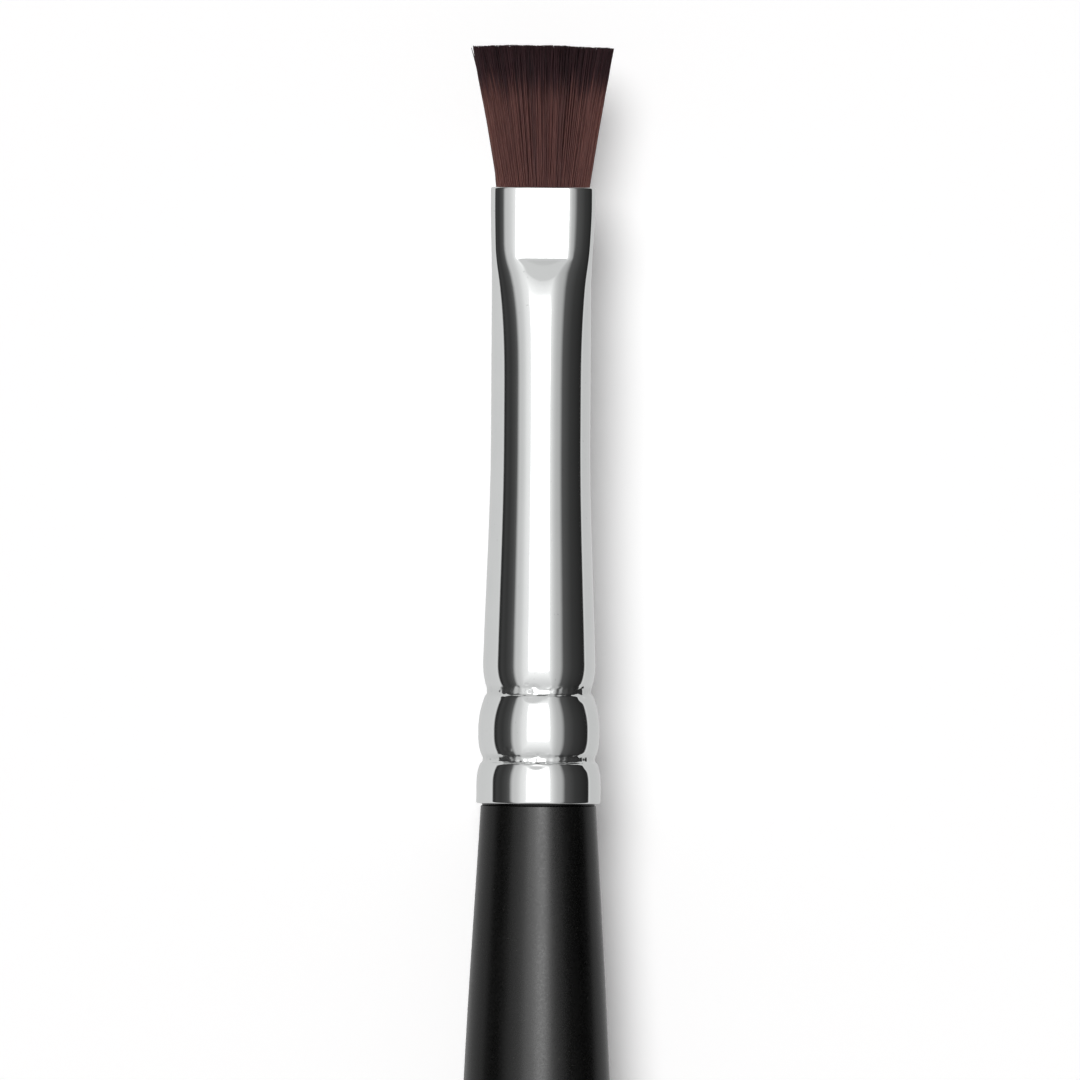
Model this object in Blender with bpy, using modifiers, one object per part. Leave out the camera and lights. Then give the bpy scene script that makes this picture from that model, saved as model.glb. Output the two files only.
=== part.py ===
"""Flat definer brush: a fanned tuft of synthetic filaments in a pressed ferrule on a turned handle.

The brush lies along +X.  The centre of the handle's end face is the origin, the tuft points to +X
and its two broad faces look up and down, along Z.  Sizes below are millimetres; MM turns them into
metres where a mesh is made.
"""

import math

import bmesh
import bpy

MM = 0.001

# --- Driving dimensions, in millimetres ---------------------------------------------------------
BRUSH_LENGTH = 170.0
TUFT_LENGTH = 8.15
FERRULE_LENGTH = 35.2
FERRULE_WALL = 0.2
FIT_GAP = 0.1  # between neighbouring pieces, where the real ones touch or are glued

MOUTH_X = BRUSH_LENGTH - TUFT_LENGTH
RIM_X = MOUTH_X - FERRULE_LENGTH

# Handle, measured from its shoulder at the ferrule's rim back to its end.
SHOULDER_RADIUS = 3.316
SHOULDER_SLOPE = 0.0543
BELLY_DISTANCE = 25.0
BELLY_RADIUS = 4.4
END_RADIUS = 2.15
END_SLOPE = -0.02
END_ROUNDING = 1.4
END_FLAT_RADIUS = 1.0
TENON_LENGTH = 12.0
TENON_NOSE_START = 7.6  # ahead of the crimps the tenon steps down to leave room for glue
TENON_NOSE_RADIUS = 2.55
TENON_NOSE_CHAMFER = 0.4

# Ferrule, measured from its rim forward to its mouth.
RIM_RADIUS = 3.53
BODY_START = 8.1
BODY_RADIUS = 3.205
BODY_SLOPE = -0.028
BODY_TAPER_LENGTH = 12.8
NECK_RADIUS = 2.838
MOUTH_SPREAD = 0.162  # the flattened mouth is this much wider on each side
SPREAD_START, SPREAD_END = 29.3, 34.4
FLATTEN_START, FLATTEN_END = 25.0, 34.0
MOUTH_DEPTH_RATIO = 0.47  # depth of the mouth's oval over its width, before the press
FACET_START = 31.1
FACET_MOUTH_HEIGHT = 1.22
FACET_SLOPE = 0.065
RAMP_START = 29.9  # where the ramp behind the facet comes up to the top of the oval
RAMP_SLOPE = 0.42

# Each crimp groove: where it starts and ends, the radii of its two edges and of its floor.
REAR_GROOVE = {"start": 2.33, "end": 2.74, "rear_edge": 3.25, "front_edge": 3.31, "floor": 3.17}
FRONT_GROOVE = {"start": 6.20, "end": 6.62, "rear_edge": 3.06, "front_edge": 3.08, "floor": 2.97}
GROOVE_FLANK = 0.09
RIM_BULGE = 0.13
BEAD_BULGE = 0.28
BODY_SHOULDER_BULGE = 0.04

# Tuft: the free length of the filaments, measured from the ferrule's mouth.
TUFT_BASE_HALF_WIDTH = 2.5
TUFT_TIP_HALF_WIDTH = 4.05
TUFT_BASE_HALF_DEPTH = 0.78
TUFT_TIP_HALF_DEPTH = 0.85
TUFT_TIP_SQUARENESS = 5.0
TUFT_TIP_ARCH = 0.14

# The same filaments inside the ferrule, from their flat section at the mouth to a round, tied butt.
ROOT_FRONT_GAP = 0.8  # room for the tuft's base to turn in the mouth
ROOT_LENGTH = 13.8
BUTT_RADIUS = 1.7
ROOT_FRONT_HALF_WIDTH = 2.45
ROOT_FRONT_HALF_DEPTH = 0.85
ROOT_ROUND_DISTANCE = 9.0

# Setting resin round the butts, measured from the ferrule's rim.
PLUG_REAR = 20.4
PLUG_FRONT = 26.0
PLUG_RADIUS = 2.5
PLUG_FRONT_RADIUS = 2.15
PLUG_TAPER_START = 22.0
THREAD_POCKET = (21.8, 23.9)
THREAD_POCKET_RADIUS = 2.08

# Thread that ties the butts.
THREAD_DIAMETER = 0.2
THREAD_PITCH = 0.27
THREAD_TURNS = 5
THREAD_START = 22.2
THREAD_POINTS_PER_TURN = 18

HANDLE_SIDES = 28
FERRULE_SIDES = 40
TUFT_SIDES = 32
INNER_SIDES = 28


# --- Blender helpers ----------------------------------------------------------------------------
def clear_scene():
    for obj in list(bpy.data.objects):
        bpy.data.objects.remove(obj, do_unlink=True)


def make_material(name, color, roughness, metallic=0.0):
    material = bpy.data.materials.new(name)
    material.use_nodes = True
    shader = material.node_tree.nodes["Principled BSDF"]
    shader.inputs["Base Color"].default_value = (*color, 1.0)
    shader.inputs["Roughness"].default_value = roughness
    shader.inputs["Metallic"].default_value = metallic
    return material


def add_object(name, data, material, collection, parent, x=0.0):
    """Link an object for the mesh or curve data, with its origin on the brush's axis at x mm."""
    obj = bpy.data.objects.new(name, data)
    data.materials.append(material)
    collection.objects.link(obj)
    obj.parent = parent
    obj.location = (x * MM, 0.0, 0.0)
    return obj


def shade_round(mesh):
    mesh.shade_smooth()
    mesh.set_sharp_from_angle(angle=math.radians(35))


def turned_piece(name, profile, sides, material, collection, parent, x=0.0, closed=False):
    """Turn a profile of (distance along the axis, radius) points about the brush's axis.

    The profile starts at its front and runs back along the outside, so that faces point out.
    It is drawn standing on Z, half a side round from +X, and the object is laid down along X.
    That puts flat sides at the top and bottom, so that the piece rests on one.
    """
    mesh = bpy.data.meshes.new(name)
    c, s = math.cos(math.pi / sides), math.sin(math.pi / sides)
    points = [(radius * c * MM, radius * s * MM, distance * MM) for distance, radius in profile]
    edges = [(i, i + 1) for i in range(len(points) - 1)]
    if closed:
        edges.append((len(points) - 1, 0))
    mesh.from_pydata(points, edges, [])
    obj = add_object(name, mesh, material, collection, parent, x)
    obj.rotation_euler = (0.0, math.pi / 2, 0.0)
    screw = obj.modifiers.new("Turn", "SCREW")
    screw.axis = "Z"
    screw.steps = sides
    screw.render_steps = sides
    screw.use_merge_vertices = True
    screw.merge_threshold = 0.00001
    screw.use_smooth_shade = True
    return obj


def lofted_mesh(name, rings, capped):
    """Skin rings of equal point counts, given from rear to front.  Caps meet at a centre point."""
    mesh = bpy.data.meshes.new(name)
    bm = bmesh.new()
    loops = [[bm.verts.new([value * MM for value in point]) for point in ring] for ring in rings]
    count = len(rings[0])
    for rear, front in zip(loops, loops[1:]):
        for i in range(count):
            j = (i + 1) % count
            bm.faces.new((rear[i], rear[j], front[j], front[i]))
    if capped:
        for loop, ring, outward in ((loops[0], rings[0], -1), (loops[-1], rings[-1], 1)):
            reach = max(point[0] * outward for point in ring) * outward
            centre = bm.verts.new((reach * MM, 0.0, 0.0))
            for i in range(count):
                pair = (loop[i], loop[(i + 1) % count])
                bm.faces.new((*(pair if outward > 0 else reversed(pair)), centre))
    bm.normal_update()
    bm.to_mesh(mesh)
    bm.free()
    shade_round(mesh)
    return mesh


# --- Shape rules --------------------------------------------------------------------------------
def smoothstep(value):
    value = min(max(value, 0.0), 1.0)
    return value * value * (3.0 - 2.0 * value)


def mix(start, end, share):
    return start + (end - start) * share


def hermite(share, start, start_slope, end, end_slope, length):
    """A cubic between two radii with the given slopes, over a length along the axis."""
    square, cube = share**2, share**3
    return (
        (2 * cube - 3 * square + 1) * start
        + (cube - 2 * square + share) * length * start_slope
        + (3 * square - 2 * cube) * end
        + (cube - square) * length * end_slope
    )


def arc_between(start, end, bulge, segments):
    """Points of the circular arc between two points, standing out by bulge at its middle."""
    (x0, y0), (x1, y1) = start, end
    chord = math.hypot(x1 - x0, y1 - y0)
    radius = (chord**2 / 4 + bulge**2) / (2 * bulge)
    half_angle = math.asin(chord / 2 / radius)
    along = ((x1 - x0) / chord, (y1 - y0) / chord)
    outward = (-along[1], along[0])
    points = []
    for i in range(segments + 1):
        angle = mix(-half_angle, half_angle, i / segments)
        reach = radius * math.sin(angle) + chord / 2
        rise = radius * math.cos(angle) - (radius - bulge)
        points.append((x0 + along[0] * reach + outward[0] * rise,
                       y0 + along[1] * reach + outward[1] * rise))
    return points


def inset_outline(points, distance):
    """Move an outline of (x, radius) points towards the axis by an even distance, with true corners.

    The points run forward, along +x.
    """
    normals = []
    for (x0, r0), (x1, r1) in zip(points, points[1:]):
        length = math.hypot(x1 - x0, r1 - r0)
        normals.append(((r1 - r0) / length, -(x1 - x0) / length))
    moved = []
    for i, (x, radius) in enumerate(points):
        before = normals[max(i - 1, 0)]
        after = normals[min(i, len(normals) - 1)]
        scale = distance / (1.0 + before[0] * after[0] + before[1] * after[1])
        moved.append((x + (before[0] + after[0]) * scale, radius + (before[1] + after[1]) * scale))
    return moved


def oval_ring(x, half_width, half_depth, sides, squareness=2.0, press=math.inf):
    """A ring across the axis: an oval, squared where squareness is over 2, pressed flat in depth."""
    ring = []
    for i in range(sides):
        angle = 2 * math.pi * i / sides
        c, s = math.cos(angle), math.sin(angle)
        y = half_width * math.copysign(abs(c) ** (2 / squareness), c)
        z = half_depth * math.copysign(abs(s) ** (2 / squareness), s)
        ring.append((x, y, min(max(z, -press), press)))
    return ring


def body_radius(t):
    """Radius of the ferrule ahead of its crimps: it tapers in and then runs straight."""
    share = min(max((t - BODY_START) / BODY_TAPER_LENGTH, 0.0), 1.0)
    return hermite(share, BODY_RADIUS, BODY_SLOPE, NECK_RADIUS, 0.0, BODY_TAPER_LENGTH)


def body_half_width(t):
    """Half width of the ferrule, with the small spread that flattening gives its mouth."""
    return body_radius(t) + MOUTH_SPREAD * smoothstep((t - SPREAD_START) / (SPREAD_END - SPREAD_START))


def body_half_depth(t):
    """Half depth of the ferrule's oval: round at first, then flattened towards the mouth."""
    share = smoothstep((t - FLATTEN_START) / (FLATTEN_END - FLATTEN_START))
    return body_half_width(t) * mix(1.0, MOUTH_DEPTH_RATIO, share)


def press_height(t):
    """Height that the press leaves: a flat facet behind the mouth, and a short ramp behind that."""
    facet = FACET_SLOPE * (FERRULE_LENGTH - max(t, FACET_START))
    ramp = RAMP_SLOPE * max(FACET_START - t, 0.0)
    return FACET_MOUTH_HEIGHT + facet + ramp


def groove_floor(groove):
    return [(groove["start"] + GROOVE_FLANK, groove["floor"]),
            (groove["end"] - GROOVE_FLANK, groove["floor"])]


def crimp_outline():
    """Outside of the crimped end, as (t, radius): rim band, groove, bead, groove, shoulder."""
    rear, front = REAR_GROOVE, FRONT_GROOVE
    rim_band = arc_between((0.0, RIM_RADIUS), (rear["start"], rear["rear_edge"]), RIM_BULGE, 4)
    bead = arc_between((rear["end"], rear["front_edge"]),
                       (front["start"], front["rear_edge"]), BEAD_BULGE, 7)
    shoulder = arc_between((front["end"], front["front_edge"]),
                           (BODY_START, body_radius(BODY_START)), BODY_SHOULDER_BULGE, 2)
    return rim_band + groove_floor(rear) + bead + groove_floor(front) + shoulder


# --- Pieces -------------------------------------------------------------------------------------
def handle_outline():
    """Outside of the handle behind the ferrule, as (x, radius), from its shoulder to its end."""
    outline = []
    for i in range(9):
        share = i / 8
        radius = hermite(share, SHOULDER_RADIUS, SHOULDER_SLOPE, BELLY_RADIUS, 0.0, BELLY_DISTANCE)
        outline.append((RIM_X - FIT_GAP - share * BELLY_DISTANCE, radius))
    belly_x = outline[-1][0]
    taper_length = belly_x - END_ROUNDING
    for i in range(1, 13):
        share = i / 12
        radius = hermite(share, BELLY_RADIUS, 0.0, END_RADIUS, END_SLOPE, taper_length)
        outline.append((belly_x - share * taper_length, radius))
    for i in range(1, 7):
        angle = math.pi / 2 * i / 6
        outline.append((END_ROUNDING * (1.0 - math.sin(angle)),
                        mix(END_FLAT_RADIUS, END_RADIUS, math.cos(angle))))
    return outline


def make_handle(material, collection, parent):
    """Turned handle.  Its tenon has the two grooves that the crimps press into the wood."""
    clearance = FERRULE_WALL + FIT_GAP
    tenon_end = RIM_X + TENON_LENGTH
    nose_shoulder = RIM_X + TENON_NOSE_START
    profile = [
        (tenon_end, 0.0),
        (tenon_end, TENON_NOSE_RADIUS - TENON_NOSE_CHAMFER),
        (tenon_end - TENON_NOSE_CHAMFER, TENON_NOSE_RADIUS),
        (nose_shoulder, TENON_NOSE_RADIUS),
    ]
    gripped = [(t, radius) for t, radius in crimp_outline() if t < TENON_NOSE_START]
    for t, radius in reversed(inset_outline(gripped, clearance)):
        profile.append((RIM_X + t, radius))
    profile.append((RIM_X - FIT_GAP, profile[-1][1]))
    profile += handle_outline()
    profile.append((0.0, 0.0))
    return turned_piece("handle", profile, HANDLE_SIDES, material, collection, parent)


def make_glue_sleeve(material, collection, parent):
    """Adhesive between the tenon's nose and the ferrule, ahead of the crimps."""
    rear, front = BODY_START, TENON_LENGTH
    inside = TENON_NOSE_RADIUS + FIT_GAP
    clearance = FERRULE_WALL + FIT_GAP
    outer = [(t, body_radius(t) - clearance) for t in (front, mix(front, rear, 0.5), rear)]
    inner = [(rear, inside), (front, inside)]
    return turned_piece("glue_sleeve", outer + inner, INNER_SIDES, material, collection, parent,
                        RIM_X, closed=True)


def make_ferrule(material, collection, parent):
    """Tapered tube with two crimp grooves, flattened at its mouth and pressed flat above and below."""
    rings = [oval_ring(t, radius, radius, FERRULE_SIDES) for t, radius in crimp_outline()]
    straight = [10.5, 13.5, 17.0, 20.9, FLATTEN_START]
    flattened = [mix(FLATTEN_START, RAMP_START, i / 6) for i in range(1, 7)]
    ramp = [mix(RAMP_START, FACET_START, i / 2) for i in range(1, 3)]
    facet = [mix(FACET_START, FERRULE_LENGTH, i / 5) for i in range(1, 6)]
    for t in straight + flattened + ramp + facet:
        rings.append(oval_ring(t, body_half_width(t), body_half_depth(t), FERRULE_SIDES,
                               press=press_height(t)))
    mesh = lofted_mesh("ferrule", rings, capped=False)
    obj = add_object("ferrule", mesh, material, collection, parent, RIM_X)
    wall = obj.modifiers.new("Wall", "SOLIDIFY")
    wall.thickness = FERRULE_WALL * MM
    wall.offset = -1.0
    wall.use_even_offset = True
    return obj


def make_tuft(material, collection, parent):
    """Free length of the filaments, fanned out in width, with a slightly arched cut."""
    rings = []
    steps = 6
    for i in range(steps + 1):
        share = i / steps
        ring = oval_ring(
            share * TUFT_LENGTH,
            mix(TUFT_BASE_HALF_WIDTH, TUFT_TIP_HALF_WIDTH, share),
            mix(TUFT_BASE_HALF_DEPTH, TUFT_TIP_HALF_DEPTH, share),
            TUFT_SIDES,
            squareness=mix(2.0, TUFT_TIP_SQUARENESS, share),
        )
        if i == steps:
            ring = [(x - TUFT_TIP_ARCH * (y / TUFT_TIP_HALF_WIDTH) ** 2, y, z) for x, y, z in ring]
        rings.append(ring)
    mesh = lofted_mesh("tuft", rings, capped=True)
    return add_object("tuft", mesh, material, collection, parent, MOUTH_X)


def make_tuft_root(material, collection, parent):
    """The same filaments inside the ferrule, gathered from the flat mouth into a round butt."""
    rings = []
    steps = 9
    for i in range(steps + 1):
        depth = mix(ROOT_LENGTH, ROOT_FRONT_GAP, i / steps)
        gathered = smoothstep((depth - ROOT_FRONT_GAP) / (ROOT_ROUND_DISTANCE - ROOT_FRONT_GAP))
        rings.append(oval_ring(-depth, mix(ROOT_FRONT_HALF_WIDTH, BUTT_RADIUS, gathered),
                               mix(ROOT_FRONT_HALF_DEPTH, BUTT_RADIUS, gathered), INNER_SIDES))
    mesh = lofted_mesh("tuft_root", rings, capped=True)
    return add_object("tuft_root", mesh, material, collection, parent, MOUTH_X)


def make_epoxy_plug(material, collection, parent):
    """Setting resin: a cup round the butts, with an annular pocket where the thread lies."""
    inside = BUTT_RADIUS + FIT_GAP
    butt_end = FERRULE_LENGTH - ROOT_LENGTH - FIT_GAP
    pocket_rear, pocket_front = THREAD_POCKET
    profile = [
        (PLUG_FRONT, PLUG_FRONT_RADIUS),
        (PLUG_TAPER_START, PLUG_RADIUS),
        (PLUG_REAR, PLUG_RADIUS),
        (PLUG_REAR, 0.0),
        (butt_end, 0.0),
        (butt_end, inside),
        (pocket_rear, inside),
        (pocket_rear, THREAD_POCKET_RADIUS),
        (pocket_front, THREAD_POCKET_RADIUS),
        (pocket_front, inside),
        (PLUG_FRONT, inside + FIT_GAP),
    ]
    return turned_piece("epoxy_plug", profile, INNER_SIDES, material, collection, parent, RIM_X,
                        closed=True)


def make_binding_thread(material, collection, parent):
    """Thread wound round the butts in a close helix."""
    curve = bpy.data.curves.new("binding_thread", "CURVE")
    curve.dimensions = "3D"
    curve.bevel_depth = THREAD_DIAMETER / 2 * MM
    curve.bevel_resolution = 2
    curve.use_fill_caps = True
    count = THREAD_TURNS * THREAD_POINTS_PER_TURN
    spline = curve.splines.new("POLY")
    spline.points.add(count)
    coil_radius = BUTT_RADIUS + 0.5 * FIT_GAP + THREAD_DIAMETER / 2
    for i, point in enumerate(spline.points):
        turn = i / THREAD_POINTS_PER_TURN
        angle = 2 * math.pi * turn
        point.co = (turn * THREAD_PITCH * MM, coil_radius * math.cos(angle) * MM,
                    coil_radius * math.sin(angle) * MM, 1.0)
    return add_object("binding_thread", curve, material, collection, parent, RIM_X + THREAD_START)


def main():
    clear_scene()
    collection = bpy.data.collections.new("flat_definer_brush")
    bpy.context.scene.collection.children.link(collection)
    brush = bpy.data.objects.new("brush", None)
    collection.objects.link(brush)

    lacquer = make_material("black_lacquer", (0.012, 0.012, 0.012), 0.42)
    plating = make_material("plated_brass", (0.80, 0.81, 0.81), 0.08, metallic=1.0)
    filament = make_material("filament", (0.09, 0.035, 0.032), 0.5)
    resin = make_material("setting_resin", (0.62, 0.50, 0.28), 0.25)
    thread = make_material("thread", (0.70, 0.66, 0.58), 0.9)
    adhesive = make_material("adhesive", (0.75, 0.70, 0.55), 0.3)

    make_handle(lacquer, collection, brush)
    make_glue_sleeve(adhesive, collection, brush)
    make_ferrule(plating, collection, brush)
    make_tuft(filament, collection, brush)
    make_tuft_root(filament, collection, brush)
    make_epoxy_plug(resin, collection, brush)
    make_binding_thread(thread, collection, brush)


main()
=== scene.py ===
import math

import bpy
import numpy as np
from mathutils import Matrix, Vector


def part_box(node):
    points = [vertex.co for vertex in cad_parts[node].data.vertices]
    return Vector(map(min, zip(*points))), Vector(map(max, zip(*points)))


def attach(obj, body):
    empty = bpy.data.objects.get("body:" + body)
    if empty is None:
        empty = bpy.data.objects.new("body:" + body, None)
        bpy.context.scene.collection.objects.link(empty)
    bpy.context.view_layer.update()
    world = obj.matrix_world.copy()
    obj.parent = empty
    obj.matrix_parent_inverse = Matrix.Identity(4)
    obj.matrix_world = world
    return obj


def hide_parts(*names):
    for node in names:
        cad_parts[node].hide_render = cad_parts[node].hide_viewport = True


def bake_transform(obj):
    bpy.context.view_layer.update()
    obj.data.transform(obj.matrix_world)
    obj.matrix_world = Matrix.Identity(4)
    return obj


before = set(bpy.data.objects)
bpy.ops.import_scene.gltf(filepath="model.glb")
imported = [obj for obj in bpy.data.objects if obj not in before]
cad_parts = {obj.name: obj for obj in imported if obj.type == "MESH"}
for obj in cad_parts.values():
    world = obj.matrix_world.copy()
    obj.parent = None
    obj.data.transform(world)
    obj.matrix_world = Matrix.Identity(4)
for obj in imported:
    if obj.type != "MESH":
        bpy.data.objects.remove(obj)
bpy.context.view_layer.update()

MM = 0.001

# Places along the brush, in millimetres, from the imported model.
RIM_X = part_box("ferrule")[0].x / MM
MOUTH_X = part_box("ferrule")[1].x / MM
TIP_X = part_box("tuft")[1].x / MM
FERRULE_LENGTH = MOUTH_X - RIM_X
TUFT_LENGTH = TIP_X - MOUTH_X
TIP_HALF_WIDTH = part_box("tuft")[1].y / MM
BUTT_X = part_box("tuft_root")[0].x / MM
BUTT_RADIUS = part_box("tuft_root")[1].z / MM

# Ferrule, measured from its rim forward: the CAD's rules, drawn finely here.
WALL = 0.2
RIM_RADIUS, RIM_BAND_END = 3.55, 1.0
REAR_GROOVE = (2.33, 2.74, 3.19)  # start, end, floor radius
BEAD_PEAK, BEAD_RADIUS = 4.2, 3.465
FRONT_GROOVE = (6.20, 6.62, 2.97)
GROOVE_SHADE = ((2.635, 0.30), (6.43, 0.42))  # painted shade and a duller finish in each groove: middle and half width
BODY_START, BODY_RADIUS, BODY_SLOPE, BODY_TAPER = 8.1, 3.205, -0.028, 12.8
NECK_RADIUS = 2.838
MOUTH_SPREAD, SPREAD_START, SPREAD_END = 0.150, 29.3, 34.4
MOUTH_SHIFT, MOUTH_ROLL = -0.06, math.radians(3.5)
FLATTEN_START, FLATTEN_KNEE, FLATTEN_END = 23.5, 30.34, 32.0
KNEE_LOSS, KNEE_SLOPE, FLATTEN_POWER, MOUTH_DEPTH_RATIO = 1.097, 0.385, 2.4, 0.485
FACET_START, FACET_HALF_WIDTH = 31.1, 1.44
RAMP_SLOPE, RAMP_REACH = 0.58, 1.4

# Handle, measured from its shoulder back.
SHOULDER_X = RIM_X - 0.1
SHOULDER_RADIUS, SHOULDER_SLOPE = 3.3, 0.0543
BELLY_DISTANCE, BELLY_RADIUS = 25.0, 4.4
END_RADIUS, END_SLOPE, END_ROUNDING, END_FLAT_RADIUS = 2.15, -0.02, 1.4, 1.0
TENON_END, TENON_NOSE_START, TENON_NOSE_RADIUS = 12.0, 7.6, 2.55


# --- Small mathematics --------------------------------------------------------------------------
def smoothstep(v):
    v = np.clip(v, 0.0, 1.0)
    return v * v * (3.0 - 2.0 * v)


def mix(a, b, share):
    return a + (b - a) * share


def soft_min(a, b, width):
    """The smaller of two values, rounded where they are closer than width."""
    return np.minimum(a, b) - np.maximum(width - np.abs(a - b), 0.0) ** 2 / (4.0 * width)


def hermite(s, r0, m0, r1, m1, length):
    return (
        (2 * s**3 - 3 * s**2 + 1) * r0
        + (s**3 - 2 * s**2 + s) * length * m0
        + (3 * s**2 - 2 * s**3) * r1
        + (s**3 - s**2) * length * m1
    )


def wave(angle, count, amplitudes, seed):
    """A sum of whole waves round the axis, with seeded phases."""
    phases = np.random.default_rng(seed).uniform(0, 2 * math.pi, len(count))
    return sum(a * np.sin(n * angle + p) for n, a, p in zip(count, amplitudes, phases))


# --- Mesh and node helpers ----------------------------------------------------------------------
def new_mesh_object(name, vertices, faces, smooth=True):
    mesh = bpy.data.meshes.new(name)
    mesh.from_pydata([tuple(v) for v in np.asarray(vertices) * MM], [], faces)
    mesh.update()
    if smooth:
        mesh.shade_smooth()
    obj = bpy.data.objects.new(name, mesh)
    bpy.context.scene.collection.objects.link(obj)
    return obj


def skin(rings, closed_ends=False):
    """Vertices and outward faces for rings of equal count, each turning from +Y to +Z.

    The rings run forward along the outside, and may turn back inside at a lip.
    """
    rings = np.asarray(rings)
    n_rings, n, _ = rings.shape
    i = np.arange(n_rings - 1)[:, None] * n
    j = np.arange(n)[None, :]
    k = (j + 1) % n
    faces = np.stack([i + j, i + k, i + n + k, i + n + j], axis=-1).reshape(-1, 4).tolist()
    vertices = rings.reshape(-1, 3)
    if closed_ends:
        first, last = len(vertices), len(vertices) + 1
        centres = np.array([rings[0].mean(0), rings[-1].mean(0)])
        vertices = np.vstack([vertices, centres])
        base = (n_rings - 1) * n
        faces += [[(a + 1) % n, a, first] for a in range(n)]
        faces += [[base + a, base + (a + 1) % n, last] for a in range(n)]
    return vertices, faces


class Nodes:
    """A material's node tree, with short calls for the nodes used here."""

    def __init__(self, name):
        self.material = bpy.data.materials.new(name)
        self.material.use_nodes = True
        self.tree = self.material.node_tree
        self.shader = self.tree.nodes["Principled BSDF"]

    def add(self, kind, **settings):
        node = self.tree.nodes.new(kind)
        for key, value in settings.items():
            setattr(node, key, value)
        return node

    def link(self, source, target):
        self.tree.links.new(source, target)

    def feed(self, socket, value):
        if isinstance(value, bpy.types.NodeSocket):
            self.link(value, socket)
        else:
            socket.default_value = value

    def position(self):
        return self.add("ShaderNodeNewGeometry").outputs["Position"]

    def scaled(self, vector, scale):
        node = self.add("ShaderNodeVectorMath", operation="MULTIPLY")
        self.link(vector, node.inputs[0])
        node.inputs[1].default_value = scale
        return node.outputs[0]

    def noise(self, vector, scale, detail=2.0, roughness=0.5, distortion=0.0):
        node = self.add("ShaderNodeTexNoise")
        self.link(vector, node.inputs["Vector"])
        node.inputs["Scale"].default_value = scale
        node.inputs["Detail"].default_value = detail
        node.inputs["Roughness"].default_value = roughness
        node.inputs["Distortion"].default_value = distortion
        return node.outputs["Fac"]

    def attribute(self, name):
        return self.add("ShaderNodeAttribute", attribute_name=name).outputs["Fac"]

    def math(self, operation, a, b=0.0, c=0.0, clamp=False):
        node = self.add("ShaderNodeMath", operation=operation, use_clamp=clamp)
        for socket, value in zip(node.inputs, (a, b, c)):
            self.feed(socket, value)
        return node.outputs[0]

    def fit(self, value, low, high, to_low=0.0, to_high=1.0, smooth=False):
        node = self.add("ShaderNodeMapRange",
                        interpolation_type="SMOOTHSTEP" if smooth else "LINEAR")
        self.feed(node.inputs["Value"], value)
        node.inputs["From Min"].default_value = low
        node.inputs["From Max"].default_value = high
        node.inputs["To Min"].default_value = to_low
        node.inputs["To Max"].default_value = to_high
        return node.outputs["Result"]

    def blend(self, factor, a, b):
        node = self.add("ShaderNodeMix", data_type="RGBA")
        self.feed(node.inputs["Factor"], factor)
        colours = [s for s in node.inputs if s.type == "RGBA"]
        for socket, value in zip(colours, (a, b)):
            if isinstance(value, bpy.types.NodeSocket):
                self.link(value, socket)
            else:
                socket.default_value = (*value, 1.0)
        return [s for s in node.outputs if s.type == "RGBA"][0]

    def bump(self, height, strength, distance_mm, normal=None):
        node = self.add("ShaderNodeBump")
        node.inputs["Strength"].default_value = strength
        node.inputs["Distance"].default_value = distance_mm * MM
        self.link(height, node.inputs["Height"])
        if normal is not None:
            self.link(normal, node.inputs["Normal"])
        return node.outputs["Normal"]


def wear(material, obj):
    obj.data.materials.clear()
    obj.data.materials.append(material)


# --- Ferrule ------------------------------------------------------------------------------------
def piece(t, start, end, *ends):
    """A smooth curve between two places, given radius and slope at each; nothing outside them."""
    s = np.clip((t - start) / (end - start), 0.0, 1.0)
    return hermite(s, *ends, end - start)


def body_radius(t):
    """The tube: a long taper from the crimps down to the neck."""
    return piece(t, BODY_START, BODY_START + BODY_TAPER, BODY_RADIUS, BODY_SLOPE, NECK_RADIUS, 0.0)


def crimp_radius(t):
    """Outside radius: rim band, groove, bead, groove, then the rounded end of the tube."""
    rear_start, rear_end, rear_floor = REAR_GROOVE
    front_start, front_end, front_floor = FRONT_GROOVE
    radius = piece(t, RIM_BAND_END, rear_start, RIM_RADIUS, 0.0, rear_floor + 0.14, -0.42)
    bead_rear = piece(t, rear_end, BEAD_PEAK, rear_floor + 0.08, 0.40, BEAD_RADIUS, 0.0)
    bead_front = piece(t, BEAD_PEAK, front_start, BEAD_RADIUS, 0.0, front_floor + 0.09, -0.42)
    tube_end = piece(t, front_end, BODY_START, front_floor + 0.02, 0.38, BODY_RADIUS, BODY_SLOPE)
    rear_round = ((2 * t - rear_start - rear_end) / (rear_end - rear_start)) ** 2
    front_round = ((2 * t - front_start - front_end) / (front_end - front_start)) ** 2
    radius = np.where(t >= rear_start, rear_floor + 0.05 * rear_round, radius)
    radius = np.where(t >= rear_end, bead_rear, radius)
    radius = np.where(t >= BEAD_PEAK, bead_front, radius)
    radius = np.where(t >= front_start, front_floor + 0.03 * front_round, radius)
    radius = np.where(t >= front_end, tube_end, radius)
    return np.where(t >= BODY_START, body_radius(t), radius)


def smooth_outline():
    """The outside radius as a function of t, with its corners rounded by a narrow average."""
    step = 0.005
    t = np.arange(-0.3, FERRULE_LENGTH + 0.3, step)
    kernel_t = np.arange(-0.2, 0.2 + step, step)
    kernel = np.exp(-0.5 * (kernel_t / 0.05) ** 2)
    kernel /= kernel.sum()
    radius = np.convolve(crimp_radius(np.clip(t, 0.0, None)), kernel, mode="same")
    return lambda where: np.interp(where, t[45:-45], radius[45:-45])


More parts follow.
